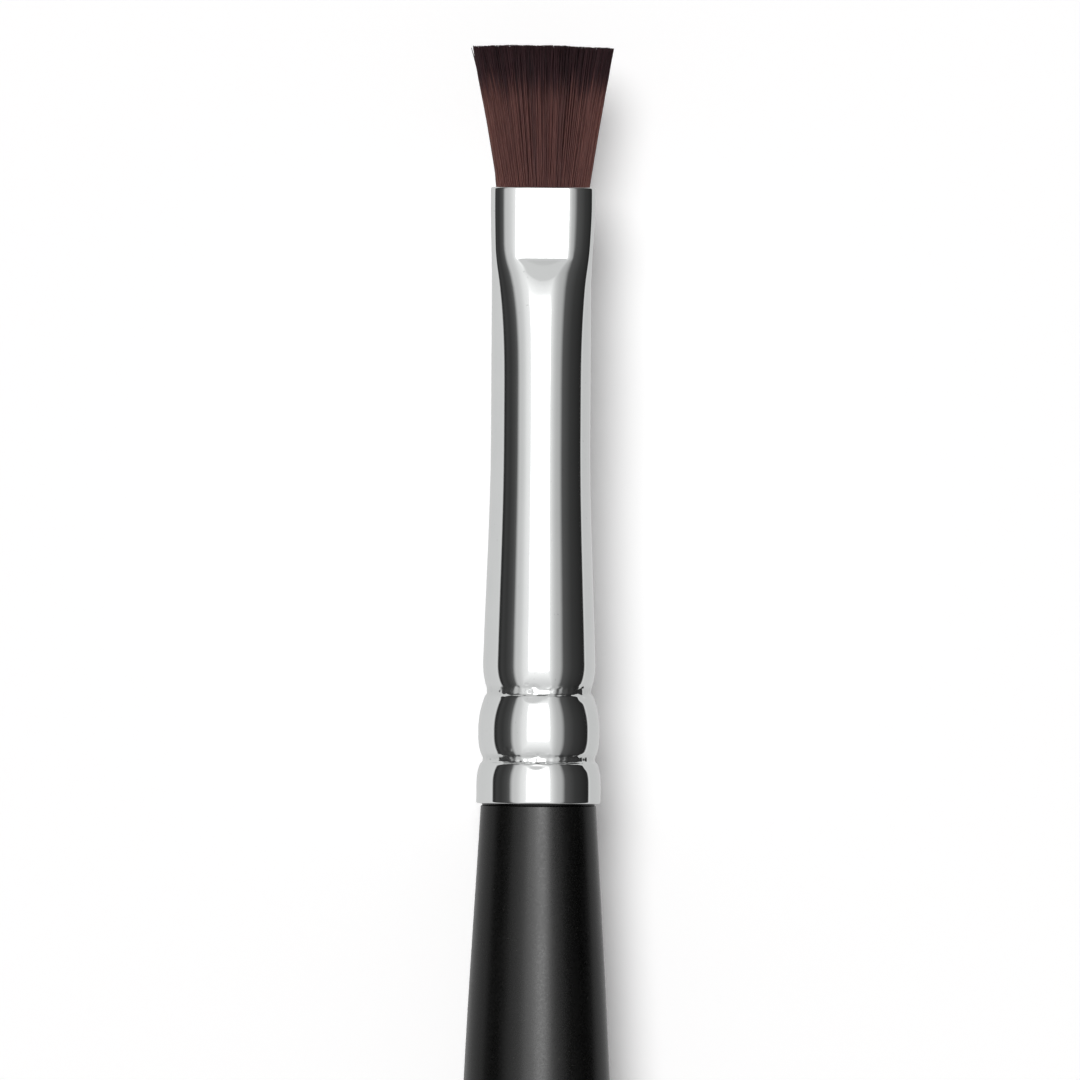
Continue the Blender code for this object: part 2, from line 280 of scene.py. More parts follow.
def depth_loss(t):
    """How much of its half depth the tube has lost where it flattens towards its mouth."""
    share = np.clip((t - FLATTEN_START) / (FLATTEN_KNEE - FLATTEN_START), 0.0, 1.0)
    gentle = KNEE_LOSS * share**FLATTEN_POWER
    end_loss = (1.0 - MOUTH_DEPTH_RATIO) * NECK_RADIUS
    settled = piece(t, FLATTEN_KNEE, FLATTEN_END, KNEE_LOSS, KNEE_SLOPE, end_loss, 0.0)
    return np.where(t < FLATTEN_KNEE, gentle, settled)


def oval_size(t, outline):
    """Half width and half depth of the tube's section, before its facets are pressed."""
    spread = smoothstep((t - SPREAD_START) / (SPREAD_END - SPREAD_START))
    width = outline(t) + MOUTH_SPREAD * spread
    return width, width * (1.0 - depth_loss(t) / NECK_RADIUS)


def chord_height(t, half_width, outline):
    width, depth = oval_size(t, outline)
    return depth * np.sqrt(1.0 - (half_width / width) ** 2)


def press_height(t, outline):
    """Height of the pressed facet, and of the ramp behind it that runs up to the round tube."""
    facet = chord_height(np.maximum(t, FACET_START), FACET_HALF_WIDTH, outline)
    return facet + RAMP_SLOPE * np.maximum(FACET_START - t, 0.0)


def smooth_press(t, outline):
    """The press height with the corner between facet and ramp slightly rounded."""
    offsets = np.linspace(-0.07, 0.07, 9)
    return np.mean(press_height(np.minimum(t + offsets, FERRULE_LENGTH), outline))


# Where the jaws of the crimping tool met, as turns round the axis from +Y towards +Z.
JAW_COUNT, REAR_JAW_TURN, FRONT_JAW_TURN = 6, math.radians(89.0), math.radians(84.5)
# Each crimp: its groove, its first jaw and the seed of its unevenness.
CRIMPS = ((REAR_GROOVE, REAR_JAW_TURN, 11), (FRONT_GROOVE, FRONT_JAW_TURN, 23))


def turned(angle, middle):
    """The signed turn from middle, between minus and plus half a turn."""
    return (angle - middle + math.pi) % (2 * math.pi) - math.pi


def crimp_marks(t, angle):
    """How far the crimping jaws pushed the wall in, in mm, over t and the turn round the axis."""
    push = np.zeros_like(angle)
    for (start, end, floor), first_jaw, seed in CRIMPS:
        centre, half = (start + end) / 2, (end - start) / 2
        inside = np.exp(-(((t - centre) / (half + 0.04)) ** 4))
        ripple = wave(angle, (3, 7, 16, 29, 47), (0.007, 0.006, 0.005, 0.004, 0.003), seed)
        lip = wave(angle, (5, 13, 31, 53), (0.005, 0.004, 0.003, 0.002), seed + 1)
        push = push + inside * ripple + lip * np.exp(-(((t - end) / 0.12) ** 2))
        push = push + lip[::-1] * np.exp(-(((t - start) / 0.12) ** 2))
        rng = np.random.default_rng(seed)
        for jaw in range(JAW_COUNT):
            middle = first_jaw + jaw * 2 * math.pi / JAW_COUNT
            across = turned(angle, middle) * floor
            # A nick in the edge ahead, a shallow dent behind and a burr between them.
            nick = np.exp(-((across / 0.13) ** 2) - ((t - end - 0.04) / 0.11) ** 2)
            dent = np.exp(-(((across + 0.08) / 0.34) ** 2) - ((t - start + 0.16) / 0.16) ** 2)
            burr = np.exp(-((across / 0.10) ** 2) - ((t - centre) / 0.14) ** 2)
            ring = np.hypot(across + 0.20, (t - centre) * 1.1)
            dimple = np.exp(-(((ring - 0.15) / 0.05) ** 2))
            push = push + 0.045 * nick + 0.040 * dent - 0.045 * burr + 0.014 * dimple
        for _ in range(150):
            across = turned(angle, rng.uniform(0, 2 * math.pi)) * floor
            along = t - centre + rng.uniform(-1.5, 1.5) * half
            spot = np.exp(-((across / rng.uniform(0.06, 0.15)) ** 2) - (along / 0.06) ** 2)
            push = push + rng.uniform(-0.009, 0.009) * spot
        for _ in range(14):
            across = turned(angle, rng.uniform(0, 2 * math.pi)) * floor
            along = t - centre + rng.uniform(-3.0, 3.0) * half
            spot = np.exp(-((across / rng.uniform(0.06, 0.12)) ** 2) - (along / 0.07) ** 2)
            push = push + rng.uniform(-0.02, 0.03) * spot
    # The rolled rim isn't quite even.
    push = push + np.exp(-((t / 0.18) ** 2)) * wave(angle, (2, 5, 11), (0.008, 0.006, 0.004), 5)
    return push


def ferrule_section(t, angle, outline):
    """Points (y, z) of the outside at t."""
    width, depth = oval_size(t, outline)
    marks = crimp_marks(np.full_like(angle, t), angle) if t < 8.0 else 0.0
    y = (width - marks) * np.cos(angle)
    z = (depth - marks) * np.sin(angle)
    if t > FACET_START - RAMP_REACH:
        rounding = mix(0.13, 0.09, float(smoothstep((t - FACET_START + 0.9) / 0.9)))
        flat = soft_min(np.abs(z), smooth_press(t, outline), rounding)
        z = np.copysign(np.maximum(flat, 0.0), z)
    return roll_mouth(t, y, z)


def roll_mouth(t, y, z):
    """The mouth was pressed a little rolled and off the axis."""
    roll = MOUTH_ROLL * float(smoothstep((t - FLATTEN_START) / (FLATTEN_END - FLATTEN_START)))
    shift = MOUTH_SHIFT * float(smoothstep((t - SPREAD_START) / (SPREAD_END - SPREAD_START)))
    c, s = math.cos(roll), math.sin(roll)
    return np.stack([y * c - z * s + shift, y * s + z * c], axis=1)


def inset(section, distance):
    """A closed section moved inwards by an even distance."""
    tangent = np.roll(section, -1, axis=0) - np.roll(section, 1, axis=0)
    tangent /= np.linalg.norm(tangent, axis=1)[:, None]
    outward = np.stack([tangent[:, 1], -tangent[:, 0]], axis=1)
    return section - outward * distance


def make_ferrule(material):
    sides = 256
    angle = (np.arange(sides) + 0.5) * 2 * math.pi / sides
    outline = smooth_outline()
    lip = WALL / 2
    length = FERRULE_LENGTH

    def ring(t, depth, at=None):
        section = ferrule_section(t, angle, outline)
        if depth:
            section = inset(section, depth)
        x = RIM_X + (t if at is None else at)
        return np.column_stack([np.full(sides, x), section])

    turn = np.linspace(0, math.pi, 9)[1:-1]
    rings = []
    outside = np.concatenate([
        np.linspace(lip, 2.1, 28)[:-1], np.linspace(2.1, 3.0, 42)[:-1],
        np.linspace(3.0, 6.0, 44)[:-1], np.linspace(6.0, 7.0, 46)[:-1],
        np.linspace(7.0, 8.5, 22)[:-1], np.linspace(8.5, 24.0, 28)[:-1],
        np.linspace(24.0, 29.5, 28)[:-1], np.linspace(29.5, 31.6, 40)[:-1],
        np.linspace(31.6, length - lip, 20),
    ])
    for t in outside:
        rings.append(ring(t, 0.0))
    for a in turn:
        rings.append(ring(length - lip, lip * (1 - math.cos(a)), length - lip + lip * math.sin(a)))
    inside = np.concatenate([
        np.linspace(length - lip, 24.0, 26)[:-1], np.linspace(24.0, 8.0, 12)[:-1],
        np.linspace(8.0, lip, 60),
    ])
    for t in inside:
        rings.append(ring(t, WALL))
    for a in turn:
        rings.append(ring(lip, lip * (1 + math.cos(a)), lip - lip * math.sin(a)))
    vertices, faces = skin(rings)
    # Close the wall: the last ring, on the rim's lip, meets the first one.
    base = (len(rings) - 1) * sides
    faces += [[base + a, base + (a + 1) % sides, (a + 1) % sides, a] for a in range(sides)]
    obj = new_mesh_object("ferrule_shell", vertices, faces)
    wear(material, obj)
    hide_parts("ferrule")
    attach(obj, "brush")


# --- Handle -------------------------------------------------------------------------------------
def handle_outline():
    """(x, radius) from the tenon's end back to the handle's end, along the outside."""
    points = [(RIM_X + TENON_END, 0.0), (RIM_X + TENON_END, TENON_NOSE_RADIUS - 0.4),
              (RIM_X + TENON_END - 0.4, TENON_NOSE_RADIUS),
              (RIM_X + TENON_NOSE_START, TENON_NOSE_RADIUS)]
    outline = smooth_outline()
    for t in np.arange(TENON_NOSE_START - 0.02, 0.05, -0.12):
        near = [float(outline(min(max(t + o, 0.0), 7.8))) for o in (-0.12, 0.0, 0.12)]
        points.append((RIM_X + t, min(near) - WALL - 0.12))
    neck = points[-1][1]
    points.append((SHOULDER_X + 0.06, neck))
    # A rounded shoulder where the lacquer stops short of the rim.
    for a in np.linspace(0, math.pi / 2, 6):
        points.append((SHOULDER_X - 0.10 + 0.10 * math.cos(a),
                       SHOULDER_RADIUS - 0.10 + 0.10 * math.sin(a)))
    for s in np.linspace(0, 1, 60)[1:]:
        radius = hermite(s, SHOULDER_RADIUS, SHOULDER_SLOPE, BELLY_RADIUS, 0.0, BELLY_DISTANCE)
        points.append((SHOULDER_X - 0.10 - s * (BELLY_DISTANCE - 0.10), radius))
    belly_x = points[-1][0]
    taper = belly_x - END_ROUNDING
    for s in np.linspace(0, 1, 90)[1:]:
        points.append((belly_x - s * taper,
                       hermite(s, BELLY_RADIUS, 0.0, END_RADIUS, END_SLOPE, taper)))
    for a in np.linspace(0, math.pi / 2, 14)[1:]:
        points.append((END_ROUNDING * (1 - math.sin(a)),
                       mix(END_FLAT_RADIUS, END_RADIUS, math.cos(a))))
    points.append((0.0, 0.5 * END_FLAT_RADIUS))
    points.append((0.0, 0.0))
    return points


def make_handle(material):
    sides = 144
    angle = np.arange(sides) * 2 * math.pi / sides
    outline = handle_outline()[::-1]
    rings = []
    for x, radius in outline[1:-1]:
        ring = np.column_stack([np.full(sides, x), radius * np.cos(angle), radius * np.sin(angle)])
        rings.append(ring)
    vertices, faces = skin(rings, closed_ends=True)
    obj = new_mesh_object("handle_turned", vertices, faces)
    obj.data.set_sharp_from_angle(angle=math.radians(50))
    wear(material, obj)
    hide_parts("handle")
    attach(obj, "brush")


# --- Tuft ---------------------------------------------------------------------------------------
TUFT_SEAT = (2.70, 0.98, 1.15)  # half width, flat half depth and oval half depth in the mouth
FILAMENTS = 1650
FILAMENT_RADIUS = 0.047
FILAMENT_SIDES = 5
BUNDLES = 7


def mouth_half_depth(y, half_width, flat, oval):
    return np.minimum(flat, oval * np.sqrt(np.clip(1 - (y / half_width) ** 2, 0.0, 1.0)))


def seat_filaments(rng):
    """Places (share across, share of depth) in the mouth, evenly spread with a little jitter."""
    half_width, flat, oval = TUFT_SEAT
    pitch = 0.0905
    while True:
        rows = []
        z = -flat
        row = 0
        while z <= flat:
            y = np.arange(-half_width, half_width, pitch) + (row % 2) * pitch / 2
            rows.append(np.column_stack([y, np.full(len(y), z)]))
            z += pitch * math.sqrt(3) / 2
            row += 1
        grid = np.vstack(rows)
        limit = mouth_half_depth(grid[:, 0], half_width, flat, oval)
        grid = grid[(np.abs(grid[:, 1]) <= limit - 0.02) & (np.abs(grid[:, 0]) < half_width - 0.03)]
        if len(grid) <= FILAMENTS:
            break
        pitch *= 1.01
    grid = grid + rng.uniform(-0.3, 0.3, grid.shape) * pitch
    limit = np.maximum(mouth_half_depth(grid[:, 0], half_width, flat, oval), 0.05)
    across = grid[:, 0] / np.abs(grid[:, 0]).max()
    deep = np.clip(grid[:, 1] / limit, -1.0, 1.0)
    return across, deep


def clumped(across, deep, rng, count, pull):
    """Draws each filament's tip a little towards the middle of its clump."""
    centres = np.column_stack([rng.uniform(-1, 1, count), rng.uniform(-1, 1, count)])
    here = np.column_stack([across * 4.0, deep * 0.85])
    there = centres * (4.0, 0.85)
    nearest = ((here[:, None, :] - there[None, :, :]) ** 2).sum(-1).argmin(1)
    goal = there[nearest]
    moved = here + (goal - here) * pull
    return moved[:, 0] / 4.0, moved[:, 1] / 0.85


def filament_paths(rng):
    """Centre lines: an array (filament, station, xyz) in mm, and each station's share of the length."""
    across, deep = seat_filaments(rng)
    n = len(across)
    # At the cut the filaments are spread evenly over the width, not only over the mouth's shape.
    rank = np.empty(n)
    rank[np.argsort(across + rng.normal(0, 0.004, n))] = (np.arange(n) + 0.5) / n
    tip_across, tip_deep = clumped(mix(across, 2.0 * rank - 1.0, 0.75), deep, rng, 700, 0.18)
    tip_across = tip_across + rng.normal(0, 0.006, n)
    tip_deep = tip_deep + rng.normal(0, 0.03, n)
    swell = 1.0 - 0.22 * np.abs(across) ** 4
    half_width, flat, oval = TUFT_SEAT
    seat_y = across * (half_width - 0.05)
    base = np.column_stack([seat_y, deep * mouth_half_depth(seat_y, half_width, flat, oval)])
    base = roll_mouth(FERRULE_LENGTH, base[:, 0], base[:, 1])
    tip = np.column_stack([tip_across * (TIP_HALF_WIDTH - 0.02), tip_deep * 0.80 * swell])
    tip = roll_mouth(FERRULE_LENGTH, tip[:, 0], tip[:, 1]) - (MOUTH_SHIFT, 0.0)
    edge = np.abs(across)
    cut = 0.11 * tip_across**2 - 0.045 * tip_across
    cut = cut + 0.012 * (1 + np.sin(tip_across * 9.0 + 0.6)) + 0.008 * (1 + np.sin(tip_across * 23.0))
    cut = np.maximum(cut, 0.0) + np.abs(rng.normal(0, 0.055, n))
    short = rng.random(n) < 0.06
    cut = cut + np.where(short, rng.uniform(0.05, 0.4, n), 0.0)
    reach = TUFT_LENGTH - cut
    outside = np.array([0.0, 0.06, 0.16, 0.30, 0.46, 0.62, 0.77, 0.90, 0.97, 1.0])
    lean_y = rng.normal(0, 0.045, n)
    lean_y = lean_y + np.where(rng.random(n) < 0.05, rng.normal(0, 0.09, n), 0.0)
    lean_z = rng.normal(0, 0.035, n)
    weave = rng.uniform(0, 2 * math.pi, n)
    bow = 0.10 * np.sign(across) * edge**3
    stations, shares = [], []
    inner_depth = [MOUTH_X - BUTT_X, 9.0, 6.0, 3.0, 0.8]
    for depth in inner_depth:
        gathered = float(smoothstep((depth - 0.8) / (9.0 - 0.8)))
        ry = BUTT_RADIUS - 0.07
        disc_y = across * ry
        disc_z = deep * np.sqrt(np.clip(ry**2 - disc_y**2, 0, None))
        y = mix(base[:, 0], disc_y, gathered)
        z = mix(base[:, 1], disc_z, gathered)
        stations.append(np.column_stack([np.full(n, MOUTH_X - depth), y, z]))
        shares.append(np.zeros(n))
    for s in outside:
        side = np.sin(s * math.pi)
        y = mix(base[:, 0], tip[:, 0], s) + side * (lean_y - bow)
        y = y + 0.016 * np.sin(s * 11.0 + weave) * s
        z = mix(base[:, 1], tip[:, 1], s**0.9) + side * lean_z
        stations.append(np.column_stack([MOUTH_X + reach * s, y, z]))
        shares.append(np.full(n, s))
    return np.stack(stations, axis=1), np.stack(shares, axis=1), across, deep


def filament_radii(shares, rng):
    """Even along most of the length, then tapered to a fine but blunt tip."""
    thick = FILAMENT_RADIUS * rng.uniform(0.86, 1.10, shares.shape[0])[:, None]
    taper = np.clip((shares - 0.72) / 0.28, 0.0, 1.0)
    return thick * (1.0 - 0.58 * taper**1.6)


def tube_bundle(name, paths, radii, attributes):
    """One mesh of many closed filaments, with attributes and a UV map of one column a filament."""
    n, stations, _ = paths.shape
    sides = FILAMENT_SIDES
    turn = np.arange(sides) * 2 * math.pi / sides
    ring = np.stack([np.zeros(sides), np.cos(turn), np.sin(turn)], axis=1)
    tangent = np.gradient(paths, axis=1)
    tangent /= np.linalg.norm(tangent, axis=2)[..., None]
    vertices = paths[:, :, None, :] + ring[None, None] * radii[:, :, None, None]
    # Each ring is square to its filament.
    lean = -(ring[None, None, :, 1] * tangent[:, :, None, 1]
             + ring[None, None, :, 2] * tangent[:, :, None, 2])
    vertices[..., 0] += lean / np.maximum(tangent[:, :, None, 0], 0.2) * radii[:, :, None]
    per = stations * sides
    j = np.arange(stations - 1)[:, None] * sides
    k = np.arange(sides)[None, :]
    m = (k + 1) % sides
    strip = np.stack([j + k, j + m, j + sides + m, j + sides + k], axis=-1).reshape(-1, 4)
    faces = (np.arange(n)[:, None, None] * per + strip[None]).reshape(-1, 4).tolist()
    front = [per - sides + a for a in range(sides)]
    back = list(range(sides))[::-1]
    for i in range(n):
        faces.append([i * per + a for a in front])
        faces.append([i * per + a for a in back])
    obj = new_mesh_object(name, vertices.reshape(-1, 3), faces)
    for key, values in attributes.items():
        values = np.repeat(values.reshape(n, stations), sides, axis=1).ravel()
        layer = obj.data.attributes.new(key, "FLOAT", "POINT")
        layer.data.foreach_set("value", values.astype(np.float32))
    lay_out(obj.data, n, per, attributes["along"].reshape(n, stations), sides)
    return obj


def lay_out(mesh, count, per, along, sides):
    """UV map: a column for each filament, running from its root at the bottom to its tip at the top."""
    layer = mesh.uv_layers.new(name="OFBake")
    loops = np.empty(len(mesh.loops), np.int64)
    mesh.loops.foreach_get("vertex_index", loops)
    filament = loops // per
    station = (loops % per) // sides
    side = (loops % per) % sides
    u = (filament + 0.12 + 0.76 * side / (sides - 1)) / count
    v = 0.04 + 0.92 * along[filament, station] + 0.0015 * (station - 5)
    uv = np.column_stack([u, np.clip(v, 0.005, 0.995)]).astype(np.float32)
    layer.data.foreach_set("uv", uv.ravel())


def make_tuft(material):
    rng = np.random.default_rng(638)
    paths, shares, across, deep = filament_paths(rng)
    radii = filament_radii(shares, rng)
    n = len(across)
    tone = np.clip(rng.normal(0.5, 0.22, n), 0.0, 1.0)
    band = 0.5 + 0.5 * np.sin(across * 21.0 + 1.3) * np.sin(across * 8.7 + 0.4)
    tone = np.clip(0.72 * tone + 0.28 * band, 0.0, 1.0)
    dip = rng.normal(0.0, 1.0, n)
    order = np.argsort(across + rng.normal(0, 0.02, n))
    stations = paths.shape[1]
    for i, chosen in enumerate(np.array_split(order, BUNDLES)):
        attributes = {
            "along": shares[chosen],
            "tone": np.repeat(tone[chosen][:, None], stations, axis=1),
            "dip": np.repeat(dip[chosen][:, None], stations, axis=1),
            "edge": np.repeat(np.abs(across[chosen])[:, None], stations, axis=1),
        }
        obj = tube_bundle(f"filaments_{i + 1}", paths[chosen], radii[chosen], attributes)
        wear(material, obj)
        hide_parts("tuft", "tuft_root")
        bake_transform(obj)
        # The outermost filaments are too thin and few to darken the floor.
        obj.visible_shadow = 0 < i < BUNDLES - 1


# --- Materials ----------------------------------------------------------------------------------
def plating_material():
    """Bright nickel: a clean mirror with faint drawing lines, a little haze and a few dark specks, with
    painted shade and a duller finish in the crimp grooves.
    """
    m = Nodes("bright_nickel")
    place = m.position()
    lines = m.noise(m.scaled(place, (60.0, 4200.0, 4200.0)), 1.0, detail=3.0)
    haze = m.noise(place, 420.0, detail=4.0, roughness=0.6)
    specks = m.noise(place, 5200.0, detail=1.0)
    split = m.add("ShaderNodeSeparateXYZ")
    m.link(place, split.inputs[0])
    t = m.math("SUBTRACT", m.math("MULTIPLY", split.outputs["X"], 1000.0), RIM_X)
    groove_shade_masks = []
    for centre, half in GROOVE_SHADE:
        away = m.math("ABSOLUTE", m.math("SUBTRACT", t, centre))
        groove_shade_masks.append(m.fit(away, 0.0, half, 1.0, 0.0, smooth=True))
    groove = m.math("MAXIMUM", groove_shade_masks[0], groove_shade_masks[1])
    # Painted shade: the grooves' colour is drawn towards dark grey, and the same mask makes them
    # rougher.
    groove_shade_and_dullness = m.math("MULTIPLY", groove, m.fit(haze, 0.35, 0.65, 0.1, 0.75))
    spot = m.fit(specks, 0.74, 0.80, 0.0, 0.35, smooth=True)
    clean = m.blend(m.fit(haze, 0.3, 0.7), (0.805, 0.818, 0.815), (0.830, 0.842, 0.838))
    shade_and_specks = m.math("MAXIMUM", m.math("MULTIPLY", groove_shade_and_dullness, 0.35), spot)
    colour = m.blend(shade_and_specks, clean, (0.42, 0.43, 0.42))
    m.feed(m.shader.inputs["Base Color"], colour)
    m.shader.inputs["Metallic"].default_value = 1.0
    rough = m.math("ADD", m.fit(haze, 0.3, 0.7, 0.045, 0.085), m.math("MULTIPLY", groove_shade_and_dullness, 0.16))
    m.feed(m.shader.inputs["Roughness"], rough)
    fine = m.bump(lines, 0.05, 0.004)
    m.feed(m.shader.inputs["Normal"], m.bump(haze, 0.04, 0.03, fine))
    return m.material


def lacquer_material():
    """Black satin lacquer with a fine sandy texture and a few pale dust specks."""
    m = Nodes("black_satin_lacquer")
    place = m.position()
    sand = m.noise(place, 7000.0, detail=3.0, roughness=0.65)
    cloud = m.noise(place, 260.0, detail=3.0)
    dust = m.noise(place, 4300.0, detail=1.0)
    rubbed = m.noise(m.scaled(place, (240.0, 1500.0, 1500.0)), 1.0, detail=3.0)
    base = m.blend(m.fit(cloud, 0.3, 0.7), (0.0004, 0.0004, 0.0004), (0.0012, 0.0012, 0.0010))
    colour = m.blend(m.fit(sand, 0.55, 0.78, 0.0, 0.5), base, (0.007, 0.007, 0.0066))
    colour = m.blend(m.fit(dust, 0.76, 0.80, 0.0, 0.5, smooth=True), colour, (0.06, 0.058, 0.052))
    m.feed(m.shader.inputs["Base Color"], colour)
    rough = m.math("ADD", m.fit(sand, 0.3, 0.7, 0.24, 0.34), m.fit(rubbed, 0.3, 0.7, -0.02, 0.03))
    m.feed(m.shader.inputs["Roughness"], rough)
    # The rounded sides are rubbed duller than the top.
    facing = m.add("ShaderNodeLayerWeight").outputs["Facing"]
    m.feed(m.shader.inputs["Specular IOR Level"], m.fit(facing, 0.15, 0.42, 0.5, 0.27, smooth=True))
    grain = m.bump(sand, 0.16, 0.012)
    m.feed(m.shader.inputs["Normal"], m.bump(cloud, 0.04, 0.05, grain))
    return m.material


def filament_material():
    """Synthetic filament: reddish brown, dipped near-black at the tip, each one a little different;
    painted light at the outer edges.
    """
    m = Nodes("dipped_filament")
    along = m.attribute("along")
    tone = m.attribute("tone")
    dip = m.attribute("dip")
    edge = m.attribute("edge")
    place = m.position()
    streak = m.noise(m.scaled(place, (900.0, 9000.0, 9000.0)), 1.0, detail=2.0)
    start = m.math("ADD", m.math("MULTIPLY", dip, 0.040), 0.57)
    start = m.math("ADD", start, m.math("MULTIPLY", m.math("POWER", edge, 4.0), 0.02))
    dyed = m.math("DIVIDE", m.math("SUBTRACT", along, start), 0.26, clamp=True)
    dyed = m.fit(dyed, 0.0, 1.0, smooth=True)
    plain = m.blend(m.fit(tone, 0.1, 0.9), (0.056, 0.0225, 0.0215), (0.128, 0.0520, 0.0450))
    # Painted light: the outermost filaments turn a lighter red-brown, as if light shone through the
    # tuft's thin edges.
    painted_edge_light = m.math("MULTIPLY", m.math("POWER", edge, 2.5), 0.75)
    plain = m.blend(painted_edge_light, plain, (0.150, 0.063, 0.052))
    plain = m.blend(m.fit(streak, 0.35, 0.70, 0.0, 0.40), plain, (0.036, 0.016, 0.017))
    dark = m.blend(tone, (0.0045, 0.0020, 0.0028), (0.0420, 0.0185, 0.0215))
    colour = m.blend(dyed, plain, dark)
    m.feed(m.shader.inputs["Base Color"], colour)
    m.feed(m.shader.inputs["Roughness"], m.fit(streak, 0.3, 0.7, 0.38, 0.52))
    m.feed(m.shader.inputs["Specular IOR Level"], m.fit(dyed, 0.0, 1.0, 0.24, 0.14))
    m.feed(m.shader.inputs["Normal"], m.bump(streak, 0.15, 0.01))
    return m.material


def resin_material():
    m = Nodes("amber_resin")
    place = m.position()
    flow = m.noise(place, 700.0, detail=3.0, distortion=0.6)
    m.feed(m.shader.inputs["Base Color"], m.blend(flow, (0.46, 0.34, 0.16), (0.68, 0.56, 0.33)))
    m.feed(m.shader.inputs["Roughness"], m.fit(flow, 0.3, 0.7, 0.18, 0.38))
    m.feed(m.shader.inputs["Normal"], m.bump(flow, 0.2, 0.05))
    return m.material


def adhesive_material():
    m = Nodes("cured_adhesive")
    place = m.position()
    lumps = m.noise(place, 1500.0, detail=4.0, roughness=0.6)
    m.feed(m.shader.inputs["Base Color"], m.blend(lumps, (0.55, 0.49, 0.34), (0.78, 0.73, 0.60)))
    m.feed(m.shader.inputs["Roughness"], m.fit(lumps, 0.3, 0.7, 0.28, 0.5))
    m.feed(m.shader.inputs["Normal"], m.bump(lumps, 0.3, 0.04))
    return m.material


def thread_material():
    """Undyed thread, its twist drawn by slanted fibres."""
    m = Nodes("undyed_thread")
    place = m.position()
    twist = m.add("ShaderNodeTexWave", wave_type="BANDS", bands_direction="DIAGONAL")
    m.link(place, twist.inputs["Vector"])
    twist.inputs["Scale"].default_value = 2600.0
    twist.inputs["Distortion"].default_value = 2.5
    fibre = m.noise(place, 6000.0, detail=3.0)
    both = m.math("MULTIPLY", twist.outputs["Fac"], m.fit(fibre, 0.2, 0.8, 0.6, 1.0))
    m.feed(m.shader.inputs["Base Color"], m.blend(both, (0.42, 0.37, 0.29), (0.74, 0.69, 0.60)))
    m.feed(m.shader.inputs["Roughness"], m.fit(fibre, 0.2, 0.8, 0.8, 0.95))
    m.feed(m.shader.inputs["Normal"], m.bump(both, 0.4, 0.03))
    return m.material


# --- Stage, light and camera --------------------------------------------------------------------
FLOOR_GLOW = 0.21
KEY_POWER, KEY_AHEAD, KEY_LEAN, KEY_SIZE = 2.62, 0.42, 13.0, 32.0
ROOM_LEVEL, BACKDROP_LEVEL = 0.10, 0.98
# The picture's width, and its middle ahead of the rim, in millimetres.
PICTURE_WIDTH, PICTURE_MIDDLE = 61.71, 15.05
LENS, SENSOR, CAMERA_ROLL = 700.0, 36.0, math.radians(0.355)


def floor_material():
    """Plain white floor, lifted a little for the camera alone, so that its shadows stay pale."""
    m = Nodes("white_floor")
    m.shader.inputs["Base Color"].default_value = (0.92, 0.92, 0.92, 1.0)
    m.shader.inputs["Roughness"].default_value = 0.9
    m.shader.inputs["Specular IOR Level"].default_value = 0.1
    path = m.add("ShaderNodeLightPath")
    glow = m.add("ShaderNodeEmission")
    glow.inputs["Color"].default_value = (1.0, 0.985, 0.988, 1.0)
    m.link(m.math("MULTIPLY", path.outputs["Is Camera Ray"], FLOOR_GLOW), glow.inputs["Strength"])
    both = m.add("ShaderNodeAddShader")
    m.link(m.shader.outputs[0], both.inputs[0])
    m.link(glow.outputs[0], both.inputs[1])
    m.link(both.outputs[0], m.tree.nodes["Material Output"].inputs["Surface"])
    return m.material


def make_floor():
    """A white floor that touches the handle's belly and its end."""
    belly_x = SHOULDER_X - BELLY_DISTANCE
    slope = (BELLY_RADIUS - END_RADIUS) / (belly_x - END_ROUNDING)
    size = 4000.0
    corners = []
    for sx, sy in ((-1, -1), (1, -1), (1, 1), (-1, 1)):
        x = belly_x + sx * size
        corners.append((x, sy * size, -BELLY_RADIUS - 0.01 - slope * (x - belly_x)))
    floor = new_mesh_object("floor", corners, [(0, 1, 2, 3)], smooth=False)
    wear(floor_material(), floor)
    # The light tent below stands for the floor in mirrors.
    floor.visible_glossy = False


# The tent's levels by the turn from straight up, in degrees: right of the brush (-Y), then left.
TENT_RIGHT = ((18, 1.15), (22, 0.97), (26, 0.81), (30, 0.67), (36, 0.54), (43, 0.47),
              (46, 0.38), (51, 0.10), (60, 0.075), (72, 0.045), (100, 0.022),
              (105.5, 0.022), (108, 0.74), (114, 0.63), (180, 0.64))
TENT_LEFT = ((20, 1.15), (24, 0.99), (32, 0.88), (38, 0.72), (44, 0.635), (49, 0.62), (52.5, 0.42),
             (56, 0.11), (62, 0.070), (74, 0.042), (84, 0.052), (91, 0.025), (93.5, 0.025),
             (96, 0.76), (102, 0.70), (179, 0.64))
CORE_RIGHT, CORE_LEFT, CORE_LEVEL = 20.4, 21.2, 1.5
HOT_LEVEL, HOT_TURN, HOT_REACH = 4.2, -7.0, 15.0
TENT_RADIUS, TENT_MIDDLE = 400.0, 140.0
# Its overhead level by the lean, which is the distance ahead of the middle in tent radii.
TENT_LEANS = ((-0.80, 0.69), (-0.49, 0.84), (-0.33, 1.00), (-0.20, 1.15),
              (0.66, 1.15), (0.78, 0.88), (0.86, 0.70))


def level_ramp(m, value, stops):
    """Grey levels between stops, each a (place, level) with its place between 0 and 1."""
    node = m.add("ShaderNodeValToRGB")
    m.link(value, node.inputs["Fac"])
    elements = node.color_ramp.elements
    elements.remove(elements[-1])
    elements[0].position = stops[0][0]
    elements[0].color = (*[stops[0][1]] * 3, 1.0)
    for place, level in stops[1:]:
        elements.new(place).color = (level, level, level, 1.0)
    return node.outputs["Color"]


